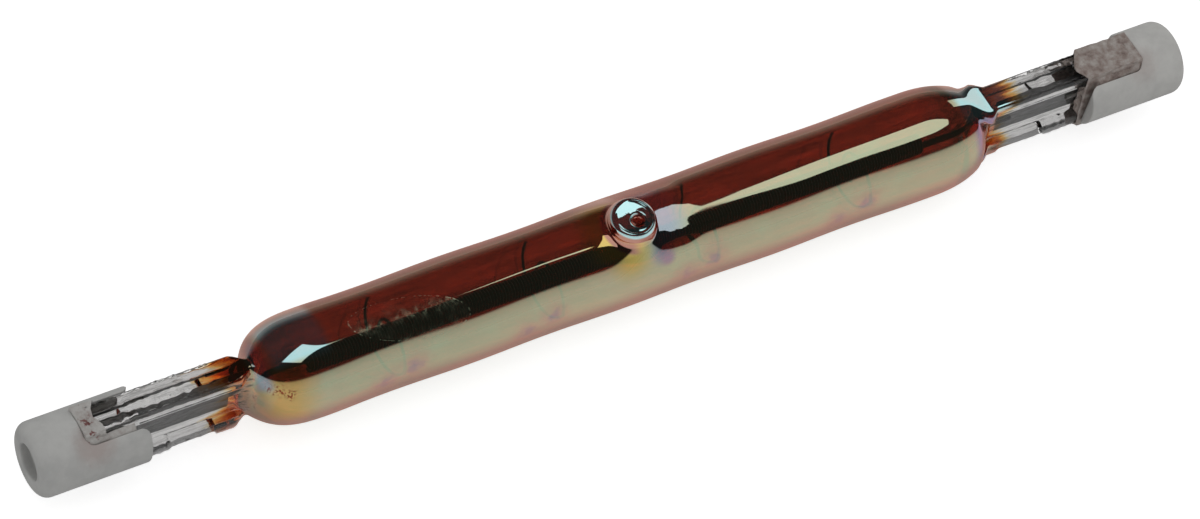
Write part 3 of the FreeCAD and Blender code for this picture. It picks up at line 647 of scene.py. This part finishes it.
def envelope_skin():
    """The outside of the quartz: points and faces, with the exhaust tip drawn out of the tube."""
    xs = ring_places()
    half_thick, half_wide, half_low, pinched = outer_profile(xs)
    unit_y, unit_z = pinch_unit()
    angles = np.radians(column_angles())
    ring_y = np.cos(angles)
    ring_z = np.sin(angles)
    first_tip = int(np.argmin(np.abs(xs - (PIP_AT - PIP_HALF))))
    last_tip = first_tip + PIP_RINGS
    signed = (np.arange(AROUND) + AROUND // 2) % AROUND - AROUND // 2
    points = []
    number = {}
    for i, x in enumerate(xs):
        w = pinched[i]
        along = x - PIP_AT
        for j in range(AROUND):
            if first_tip < i < last_tip and abs(signed[j]) < PIP_COLUMN:
                continue
            turn = radians(STEP * signed[j])
            if abs(along) < 7 and abs(turn) < 1.4:
                side, height = skin_near_tip(along, turn)
                _, y, z = PIP_UP * height + PIP_SIDE * side
            else:
                shrink = 1 - unevenness(x, angles[j]) / TUBE
                widest = half_wide[i] if ring_z[j] > 0 else half_low[i]
                y = half_thick[i] * ((1 - w) * ring_y[j] + w * unit_y[j]) * shrink
                z = widest * ((1 - w) * ring_z[j] + w * unit_z[j]) * shrink
                z += copysign(pinch_roughness(x, y, z, widest), z)
            number[i, j] = len(points)
            points.append((x, y, z))
    faces = []
    for i in range(len(xs) - 1):
        for j in range(AROUND):
            k = (j + 1) % AROUND
            if not (first_tip <= i < last_tip and max(abs(signed[j]), abs(signed[k])) <= PIP_COLUMN):
                faces.append([number[corner] for corner in ((i, j), (i, k), (i + 1, k), (i + 1, j))])
    faces.append([number[0, j] for j in range(AROUND)][::-1])
    faces.append([number[len(xs) - 1, j] for j in range(AROUND)])

    low, high = -PIP_COLUMN, PIP_COLUMN
    around = [(first_tip, j % AROUND) for j in range(low, high)]
    around += [(i, high % AROUND) for i in range(first_tip, last_tip)]
    around += [(last_tip, j % AROUND) for j in range(high, low, -1)]
    around += [(i, low % AROUND) for i in range(last_tip, first_tip, -1)]
    add_tip(points, faces, [number[key] for key in around])
    return points, faces


def dish_height(along, side):
    """The top of the tip: a leaning facet behind a ragged crease, a dimpled flat and a raised rim."""
    behind = side - 0.53 - 0.097 * along
    height = 6.33 - 0.06 * along - 0.005 * along * along
    if behind + 0.07 * wobble(along * 5.0, 0.0, 0.0, 12) > 0:
        height += behind * (0.10 + 0.03 * behind)
    far = hypot(along - DIMPLE[0], side - DIMPLE[1])
    height -= 0.30 * (1 - float(smoothstep(far, 0.40, 0.90)))
    height += 0.012 * exp(-((far - 1.0) / 0.12) ** 2) if behind < 0 else 0.0
    edge = float(smoothstep(hypot(along, side), 1.50, 1.73))
    return height + (RIM_HEIGHT - height) * edge


def add_tip(points, faces, rim):
    """Closes the opening in the tube with the melted tip: flare, neck, dome, dished top and dimple."""
    spots = np.array([points[k] for k in rim])
    start = np.hypot(spots[:, 0] - PIP_AT, spots @ PIP_SIDE)
    way = np.arctan2(spots @ PIP_SIDE, spots[:, 0] - PIP_AT)
    levels = []
    for t in np.arange(1, FLARE_RINGS + 1) / FLARE_RINGS:
        levels.append([(r, 0.0) for r in (1 - t) * start + t * FOOT])
    for t in np.arange(1, NECK_RINGS + 1) / (NECK_RINGS + 1) * pi / 2:
        levels.append([(NECK + (FOOT - NECK) * (1 - sin(t)), 1 - cos(t))] * len(rim))
    skins = len(levels)
    levels += [[ring] * len(rim) for ring in TIP_PROFILE]
    rims = len(levels)
    levels += [[(ring, 0.0)] * len(rim) for ring in DISH_RINGS]
    before = rim
    for number, level in enumerate(levels):
        row = []
        for k, (radius, height) in enumerate(level):
            moved = float(smoothstep(radius, 1.7, 0.8)) if number >= rims else 0.0
            along = radius * cos(way[k]) + DIMPLE[0] * moved
            side = radius * sin(way[k]) + DIMPLE[1] * moved
            if number < skins:
                skin = skin_at_side(along, side)
                height = skin + (NECK_HEIGHT - skin) * height
            elif number >= rims:
                height = dish_height(along, side)
            height += 0.012 * wobble(along * 0.9, side * 0.9, 0.0, 6)
            place = PIP_UP * height + PIP_SIDE * side
            row.append(len(points))
            points.append((PIP_AT + along, place[1], place[2]))
        for k in range(len(rim)):
            n = (k + 1) % len(rim)
            faces.append([before[k], before[n], row[n], row[k]])
        before = row
    place = PIP_UP * dish_height(*DIMPLE) + PIP_SIDE * DIMPLE[1]
    centre = len(points)
    points.append((PIP_AT + DIMPLE[0], place[1], place[2]))
    for k in range(len(rim)):
        faces.append([before[k], before[(k + 1) % len(rim)], centre])


def hollow_radius(x):
    """Half thickness and half width of the hollow at x."""
    if x < LEFT_SHOULDER:
        radius = sqrt(max(BORE ** 2 - (LEFT_SHOULDER - x) ** 2, 0.02))
    elif x > RIGHT_SHOULDER:
        run = (x - RIGHT_SHOULDER) / (96.6 - RIGHT_SHOULDER)
        radius = 0.5 + (BORE - 0.5) * sqrt(max(1 - run ** 1.7, 0.0))
    else:
        radius = BORE - 0.05
    squash = 0.75 + 0.25 * smoothstep(x, 22, 24) - 0.3 * smoothstep(x, 92, 96.2)
    return squash * radius, radius


def hollow_skin():
    """The inside of the quartz tube."""
    lefts = LEFT_SHOULDER - BORE * np.cos(np.linspace(0.04, pi / 2, 14))
    middles = np.linspace(LEFT_SHOULDER, RIGHT_SHOULDER, 60)[1:]
    rights = np.linspace(RIGHT_SHOULDER, 96.5, 22)[1:]
    xs = np.concatenate([lefts, middles, rights])
    points = []
    for x in xs:
        half_thick, half_wide = hollow_radius(x)
        for a in np.arange(HOLLOW_SIDES) * 2 * pi / HOLLOW_SIDES:
            points.append((x, half_thick * cos(a), half_wide * sin(a)))
    return points, [face[::-1] for face in ring_faces(len(xs), HOLLOW_SIDES)]


def quartz_envelope(coat, clear):
    outer_points, outer_faces = envelope_skin()
    inner_points, inner_faces = hollow_skin()
    skip = len(outer_points)
    faces = outer_faces + [[v + skip for v in face] for face in inner_faces]
    which = [0] * len(outer_faces) + [1] * len(inner_faces)
    piece = make_mesh(
        "quartz_envelope", outer_points + inner_points, faces, [coat, clear], face_materials=which)
    stands_for(piece, "coated_quartz", "quartz_envelope")


# Wires and foils, the wires made with node trees

def new_tree(name, inputs, takes_geometry=False):
    """An empty geometry tree with named inputs. Returns it, its inputs' sockets and their identifiers."""
    tree = bpy.data.node_groups.new(name, "GeometryNodeTree")
    if takes_geometry:
        tree.interface.new_socket("Geometry", in_out="INPUT", socket_type="NodeSocketGeometry")
    names = {}
    for label, kind in inputs.items():
        made = tree.interface.new_socket(label, in_out="INPUT", socket_type="NodeSocket" + kind)
        names[label] = made.identifier
    tree.interface.new_socket("Geometry", in_out="OUTPUT", socket_type="NodeSocketGeometry")
    return tree, put(tree, "NodeGroupInput").outputs, names


def end_tree(tree, geometry, metal):
    """Makes the result real, gives it its metal and hands it out."""
    real = put(tree, "GeometryNodeRealizeInstances", {"Geometry": geometry})
    clad = put(tree, "GeometryNodeSetMaterial", {"Geometry": real, "Material": metal})
    put(tree, "NodeGroupOutput", {"Geometry": clad})


def run_tree(piece, tree, names, values):
    """Puts the tree on the piece, sets its inputs and makes a plain mesh of the result."""
    modifier = piece.modifiers.new(tree.name, "NODES")
    modifier.node_group = tree
    for label, value in values.items():
        modifier[names[label]] = value
    piece.update_tag()
    bpy.context.view_layer.update()
    settle(piece)


def filament_coil(metal):
    """A long wound coil: a helix line given a round wire section."""
    tree, given, names = new_tree("wound_coil", {
        "Turns": "Float", "Coil radius": "Float", "Coil length": "Float", "Wire radius": "Float",
        "Start": "Vector", "Metal": "Material"})
    line = put(tree, "GeometryNodeCurveSpiral", {
        "Resolution": 16, "Rotations": given["Turns"], "Start Radius": given["Coil radius"],
        "End Radius": given["Coil radius"], "Height": given["Coil length"]})
    section = put(tree, "GeometryNodeCurvePrimitiveCircle", {
        "Resolution": 6, "Radius": given["Wire radius"]})
    wire = put(tree, "GeometryNodeCurveToMesh", {"Curve": line, "Profile Curve": section, "Fill Caps": True})
    laid = put(tree, "GeometryNodeTransform", {
        "Geometry": wire, "Rotation": (0.0, pi / 2, 0.0), "Translation": given["Start"]})
    smooth = put(tree, "GeometryNodeSetShadeSmooth", {"Geometry": laid})
    end_tree(tree, smooth, given["Metal"])
    piece = make_mesh("filament_coil", np.zeros((0, 3)), [], [metal])
    run_tree(piece, tree, names, {
        "Turns": COIL_TURNS, "Coil radius": (COIL_RADIUS - WIRE_RADIUS) * MM,
        "Coil length": (COIL_LONG - 2 * WIRE_RADIUS) * MM, "Wire radius": WIRE_RADIUS * MM,
        "Start": (MM * (COIL_START + WIRE_RADIUS), 0.0, 0.0), "Metal": metal})
    stands_for(piece, "tungsten", "filament_coil")


def support_wire(metal):
    """One support: a loop round the coil, a half turn outwards and an open loop along the quartz."""
    inner = COIL_RADIUS + 0.05 + WIRE_RADIUS
    outer = BORE - 0.05 - WIRE_RADIUS
    bend = (inner + outer) / 2
    path = []
    arcs = [(0.0, inner, 240, 360, 8.0), (inner - bend, bend, 0, 180, 6.0), (0.0, outer, 180, 381, 5.0)]
    for centre, radius, start, end, step in arcs:
        for a in np.radians(np.arange(start, end, step)):
            path.append((centre + radius * cos(a), radius * sin(a)))
    path = np.array(path)
    sides = 8
    points = []
    for i, (y, z) in enumerate(path):
        ahead = path[min(i + 1, len(path) - 1)] - path[max(i - 1, 0)]
        ahead /= np.linalg.norm(ahead)
        for a in np.arange(sides) * 2 * pi / sides:
            out = WIRE_RADIUS * cos(a)
            points.append((WIRE_RADIUS * sin(a), y + out * ahead[1], z - out * ahead[0]))
    return solid_form("filament_supports", points, ring_faces(len(path), sides), metal)


def filament_supports(metal):
    """The same wire at each support place."""
    piece = support_wire(metal)
    inputs = {"Count": "Int", "First": "Vector", "Pitch": "Vector", "Metal": "Material"}
    tree, given, names = new_tree("row_of_supports", inputs, takes_geometry=True)
    row = put(tree, "GeometryNodeMeshLine", {
        "Count": given["Count"], "Start Location": given["First"], "Offset": given["Pitch"]})
    copies = put(tree, "GeometryNodeInstanceOnPoints", {"Points": row, "Instance": given["Geometry"]})
    end_tree(tree, copies, given["Metal"])
    run_tree(piece, tree, names, {
        "Count": SUPPORTS, "First": (FIRST_SUPPORT * MM, 0.0, 0.0),
        "Pitch": (SUPPORT_PITCH * MM, 0.0, 0.0), "Metal": metal})
    stands_for(piece, "tungsten", *["filament_support_%d" % (n + 1) for n in range(SUPPORTS)])


FOIL_START = 10.2
FOIL_LONG = 9.0
FOIL_ROWS = 60
FOIL_SECTION = [
    (-1.5, 0.0), (-1.2, 0.014), (0.0, 0.02), (1.2, 0.014), (1.5, 0.0), (1.2, -0.014), (0.0, -0.02),
    (-1.2, -0.014)]


def foil(side, metal):
    """A thin foil with a slightly wavy edge, thinner towards its long edges."""
    points = []
    for i in range(FOIL_ROWS + 1):
        x = FOIL_START + FOIL_LONG * i / FOIL_ROWS
        for z, y in FOIL_SECTION:
            edge = 0.08 * wobble(x * 0.9, z, 0.0, 7) - 0.08 if abs(z) > 1 else 0.0
            z = copysign(abs(z) + edge, z) if z else 0.0
            points.append((x if side == "left" else LONG - x, y, z))
    faces = ring_faces(FOIL_ROWS + 1, len(FOIL_SECTION))
    piece = solid_form(side + "_foil", points, faces, metal, smooth=False)
    stands_for(piece, "molybdenum", side + "_foil")


# Ceramic caps and cement

def lathe(name, profile, material, sides=96):
    """A closed solid turned round X from (x, radius) corners."""
    points = []
    for x, r in profile:
        for k in range(sides):
            a = 2 * pi * k / sides
            points.append((x, r * cos(a), r * sin(a)))
    return solid_form(name, points, ring_faces(len(profile), sides, capped=False), material)


def slab(name, corners, reach, turn, material):
    """A solid drawn from (x, y) corners to both sides in Z and turned round X."""
    c, s = cos(turn), sin(turn)
    points = [(x, y * c - z * s, y * s + z * c) for z in (-reach, reach) for x, y in corners]
    return solid_form(name, points, ring_faces(2, len(corners)), material)


def arc_points(cx, cy, radius, start, end, steps):
    angles = np.radians(np.linspace(start, end, steps))
    return [(cx + radius * cos(a), cy + radius * sin(a)) for a in angles]


def combine(piece, tool, operation):
    """Cuts or joins the tool, then throws the tool away."""
    modifier = piece.modifiers.new("combine", "BOOLEAN")
    modifier.object = tool
    modifier.operation = operation
    modifier.solver = "EXACT"
    settle(piece)
    bpy.data.objects.remove(tool)


def soften(piece, grain_size, rounds):
    """Even small faces with every edge worn round."""
    remesh = piece.modifiers.new("even", "REMESH")
    remesh.mode = "VOXEL"
    remesh.voxel_size = grain_size * MM
    remesh.use_smooth_shade = True
    relax = piece.modifiers.new("relax", "SMOOTH")
    relax.factor = 0.5
    relax.iterations = rounds
    settle(piece)


def to_end(piece, side):
    """Leaves a left piece where it is and turns a right one round to the other end."""
    if side == "right":
        piece.data.transform(Matrix.Translation((LONG * MM, 0, 0)) @ Matrix.Rotation(pi, 4, "Z"))
    return piece


CAP = 3.5
CAP_LONG = 10.4
SLOT = 1.975
FLOOR = 4.5
CEMENT_END = 9.3
CEMENT_RADIUS = 3.33
THROUGH = 6.0
# The cement smeared over the narrow faces of the pinch, as (x, y) corners from the cap's own end.
COVERS = {
    "left": [(FLOOR, -1.75), (6.6, -1.75), (6.5, -0.9), (6.1, 0.0), (6.3, 0.9), (6.9, 1.75), (FLOOR, 1.75)],
    "right": [(FLOOR, -1.75), (10.0, -1.75), (10.5, -0.9), (11.1, 0.0), (11.2, 0.6), (10.8, 1.2),
              (10.4, 1.75), (FLOOR, 1.75)],
}


def slot_corners(half, floor, mouth, flare):
    """The slot's outline seen along Z, with round inner corners and a rounded mouth."""
    corner = 0.9
    lip = 0.8
    right = arc_points(floor + corner, -(half - corner), corner, 180, 270, 7)
    if flare:
        right += arc_points(mouth - lip, -(half + lip), lip, 90, 20, 6)
        right += [(mouth + 1.5, -(half + lip))]
    else:
        right += [(mouth, -half)]
    return right + [(x, -y) for x, y in reversed(right)]


def ceramic_cap(side, material):
    """A turned ceramic cap with a contact recess and two tongues. The right one has lost a tongue."""
    turn = CAP_TURN if side == "left" else -CAP_TURN
    profile = [(0.12, 1.7), (0.0, 1.82)] + arc_points(1.0, CAP - 1.0, 1.0, 180, 90, 9)
    profile += [(CAP_LONG, CAP), (CAP_LONG, 0.9), (2.4, 0.9), (2.4, 1.48), (1.1, 1.48), (1.1, 1.7)]
    cap = lathe(side + "_ceramic_cap", profile, material, 128)
    cutter = slab("slot_cutter", slot_corners(SLOT, FLOOR, CAP_LONG, True), THROUGH, turn, material)
    combine(cap, cutter, "DIFFERENCE")
    if side == "right":
        ragged = [(4.72 + 0.28 * wobble(k * 0.7, 0, 0, 8), -1.9 - 2.2 * k / 13) for k in range(14)]
        ragged = [(5.6, 0.0), (5.5, -1.9)] + ragged + [(12.0, -4.1), (12.0, 0.0)]
        combine(cap, slab("lost_tongue", ragged, THROUGH, turn, material), "DIFFERENCE")
    soften(cap, 0.085, 5)
    to_end(cap, side)
    face_outwards(cap)
    stands_for(cap, "ceramic", side + "_ceramic_cap")


def pinch_bar(material, swell):
    """The pinch's plain outline as a solid, a little larger, to be cut out of the cement."""
    corners = [(HALF_WEB, -1.6), (HALF_THICK, -2.1), (HALF_THICK, -3.1), (1.3, -HALF_WIDE)]
    quarter = [(y + swell, z - swell) for y, z in corners]
    outline = quarter + [(-y, z) for y, z in reversed(quarter)]
    outline += [(-y, -z) for y, z in quarter] + [(y, -z) for y, z in reversed(quarter)]
    points = [(x, y, z) for x in (PINCH_START, 12.0) for y, z in outline]
    return solid_form("pinch_bar", points, ring_faces(2, len(outline)), material, smooth=False)


def cement_filling(side, material):
    """Lumpy cement in the slot round the pinch."""
    turn = CAP_TURN if side == "left" else -CAP_TURN
    filling = slab(side + "_cement", slot_corners(SLOT, FLOOR, CEMENT_END, False), THROUGH, turn, material)
    round_form = [(2.0, 0.01), (2.0, CEMENT_RADIUS), (CEMENT_END, CEMENT_RADIUS), (CEMENT_END, 0.01)]
    combine(filling, lathe("round_form", round_form, material), "INTERSECT")
    combine(filling, slab("cover", COVERS[side], 3.58, 0.0, material), "UNION")
    combine(filling, pinch_bar(material, 0.03), "DIFFERENCE")
    soften(filling, 0.09, 2)
    mesh = filling.data
    mesh.update()
    moved = []
    for vertex in mesh.vertices:
        p = vertex.co / MM
        free = smoothstep(p.x, 4.6, 5.4) * smoothstep(hypot(p.y, p.z), 2.6, 3.2)
        smear = max(smoothstep(abs(p.z), 3.15, 3.32), smoothstep(abs(p.y), 1.5, 1.62))
        smear *= smoothstep(p.x, 7.4, 8.4)
        lumps = free * 0.16 * (0.6 + wobble(p.x * 0.9, p.y * 0.9, p.z * 0.9, 9)) * (1 - 0.8 * smear)
        lumps += smoothstep(p.x, 8.0, 9.2) * 0.5 * (0.5 + wobble(p.y, p.z, 1.0, 10)) * (1 - smear)
        moved.append(vertex.co - vertex.normal * float(lumps) * MM)
    for vertex, place in zip(mesh.vertices, moved):
        vertex.co = place
    to_end(filling, side)
    face_outwards(filling)
    stands_for(filling, "cement", side + "_cement")


def rod(name, start, end, y, radius, material):
    """A round lead along X with softened ends."""
    soft = radius * 0.25
    profile = [
        (start, 0.001), (start, radius - soft), (start + soft, radius), (end - soft, radius),
        (end, radius - soft), (end, 0.001)]
    piece = lathe(name, profile, material, 24)
    piece.data.transform(Matrix.Translation((0, y * MM, 0)))
    return piece


def leads(side, outer_metal, inner_metal):
    outer = ("_outer_lead", 2.8, 11.7, outer_metal, "molybdenum")
    inner = ("_inner_lead", 17.7, 29.2, inner_metal, "tungsten")
    for name, start, end, metal, slot in (outer, inner):
        lead = to_end(rod(side + name, start, end, 0.32, 0.3, metal), side)
        stands_for(lead, slot, side + name)


def contact(side, material):
    """The contact button on its stem, with a softly raised face."""
    profile = [
        (1.7, 0.001), (1.72, 0.5), (1.78, 0.95), (1.87, 1.3), (1.98, 1.43), (2.4, 1.43), (2.4, 0.85),
        (4.0, 0.85), (4.0, 0.001)]
    piece = to_end(lathe(side + "_contact", profile, material, 64), side)
    stands_for(piece, "contact_metal", side + "_contact")


# Studio

FLOOR_HEIGHT = -5.2
FLOOR_REACH = 6000.0
PANEL_HEIGHT = 450.0
# Greys that the lamp's skin mirrors: the floor from front to back, and the surroundings from behind down
# and under the lamp to the front, then up and over it to behind again.
FLOOR_SEEN = [
    (0.0, 0.44), (0.29, 0.44), (0.45, 0.48), (0.50, 0.48), (0.535, 0.40), (0.57, 0.28), (0.76, 0.12),
    (1.0, 0.0)]
WALL_SEEN = [
    (0.0, 0.30), (0.30, 0.45), (0.49, 0.90), (0.53, 0.82), (0.558, 0.72), (0.572, 0.60), (0.584, 0.02),
    (0.93, 0.02), (0.96, 0.08), (1.0, 0.30)]
# Soft panels over the lamp: radiance and (x, y) corners.
OVERHEAD = {
    "right_panel": (1.3, [(249, -46), (258, -30), (264, 8), (276, 31), (302, 66), (425, -20), (420, -110),
                          (303, -190), (276, -138), (264, -116), (258, -66)]),
    "thin_panel": (1.3, [(214, -56), (238, -37), (247, -40), (250, -50), (246, -61), (236, -66)]),
    "left_panel": (1.0, [(200, -92), (105, 50), (-190, -95), (20, -235)]),
}
END_PANEL = [(500, 190, 350), (470, 322, 280), (600, 312, 10), (662, 187, 26)]
CAMERA_AT = (-169.323, -290.024, 466.618)
CAMERA_TARGET = (56.754, -0.174, 0.0)
CAMERA_ROLL = radians(11.785)
LENS = 198.572


def floor_material():
    """A white floor that keeps a soft shadow. Seen in the lamp's skin it is brighter on the near side."""
    material, tree = new_material("floor_white")
    y = millimetres(tree)[2]
    rays = put(tree, "ShaderNodeLightPath").outputs
    near = ramp(tree, maths(tree, "MULTIPLY_ADD", y, 0.01, 0.6, clamp=True), FLOOR_SEEN)
    seen = times(tree, rays["Is Camera Ray"], 0.72)
    seen = plus(tree, seen, times(tree, rays["Is Glossy Ray"], near))
    seen = plus(tree, seen, times(tree, rays["Is Transmission Ray"], 0.02))
    matt = put(tree, "ShaderNodeBsdfDiffuse", {"Color": (0.66, 0.66, 0.66, 1.0)})
    glow = put(tree, "ShaderNodeEmission", {"Color": (1, 1, 1, 1), "Strength": seen})
    both = put(tree, "ShaderNodeAddShader", {0: matt, 1: glow})
    finish_material(tree, both)
    return material


def floor():
    square = ((-1, -1), (1, -1), (1, 1), (-1, 1))
    corners = [(x * FLOOR_REACH, y * FLOOR_REACH, FLOOR_HEIGHT) for x, y in square]
    make_mesh("floor", corners, [[0, 1, 2, 3]], [floor_material()], smooth=False)


def studio_world():
    """White for the camera. For mirrored rays it is white low on the near side and dark above and behind."""
    world = bpy.data.worlds.new("studio")
    bpy.context.scene.world = world
    world.use_nodes = True
    tree = world.node_tree
    tree.nodes.clear()
    way = put(tree, "ShaderNodeTexCoord").outputs["Generated"]
    parts = put(tree, "ShaderNodeSeparateXYZ", {0: way}).outputs
    height = maths(tree, "DEGREES", maths(tree, "ARCTAN2", parts[2], times(tree, parts[1], -1.0)))
    wall = ramp(tree, maths(tree, "MULTIPLY_ADD", height, 1 / 360.0, 0.5), WALL_SEEN)
    through = maths(tree, "MULTIPLY_ADD", ease(tree, parts[2], 0.45, 0.0), 0.26, 0.18)
    rays = put(tree, "ShaderNodeLightPath").outputs
    level = blend_value(tree, rays["Is Glossy Ray"], 0.62, wall)
    level = blend_value(tree, rays["Is Transmission Ray"], level, through)
    level = blend_value(tree, rays["Is Camera Ray"], level, 1.0)
    sky = put(tree, "ShaderNodeBackground", {"Color": (1, 1, 1, 1), "Strength": level})
    put(tree, "ShaderNodeOutputWorld", {"Surface": sky})


def soft_panel(name, radiance, corners):
    """A soft light panel from its corners in millimetres. The camera does not see it."""
    material, tree = new_material(name)
    glow = put(tree, "ShaderNodeEmission", {"Color": (1, 1, 1, 1), "Strength": radiance})
    finish_material(tree, glow)
    panel = make_mesh(name, corners, [list(range(len(corners)))], [material], smooth=False)
    panel.visible_camera = False
    panel.visible_shadow = False


def camera():
    place = Vector(CAMERA_AT) * MM
    look = (Vector(CAMERA_TARGET) * MM - place).normalized()
    right = look.cross(Vector((0, 0, 1))).normalized()
    up = right.cross(look)
    c, s = cos(CAMERA_ROLL), sin(CAMERA_ROLL)
    data = bpy.data.cameras.new("camera")
    data.sensor_width = 36.0
    data.lens = LENS
    data.clip_start = 0.01
    data.clip_end = 50.0
    eye = bpy.data.objects.new("camera", data)
    turn = Matrix((c * right + s * up, c * up - s * right, -look)).transposed().to_4x4()
    eye.matrix_world = Matrix.Translation(place) @ turn
    bpy.context.scene.collection.objects.link(eye)
    bpy.context.scene.camera = eye
    bpy.context.scene.view_settings.view_transform = "Standard"


# Build everything

coat = coated_quartz()
clear = clear_quartz()
white_ceramic = ceramic()
brown_cement = cement()
tungsten = dull_metal("tungsten", (0.05, 0.05, 0.055), 0.4)
molybdenum = dull_metal("molybdenum", (0.20, 0.20, 0.20), 0.45)
lead_metal = dull_metal("lead_metal", (0.34, 0.33, 0.32), 0.45)
nickel = dull_metal("contact_metal", (0.30, 0.27, 0.23), 0.4)

quartz_envelope(coat, clear)
filament_coil(tungsten)
filament_supports(tungsten)
for end in ("left", "right"):
    ceramic_cap(end, white_ceramic)
    cement_filling(end, brown_cement)
    foil(end, molybdenum)
    leads(end, lead_metal, tungsten)
    contact(end, nickel)

floor()
studio_world()
for panel_name, (radiance, corners) in OVERHEAD.items():
    soft_panel(panel_name, radiance, [(x, y, PANEL_HEIGHT) for x, y in corners])
soft_panel("end_panel", 1.0, END_PANEL)
camera()
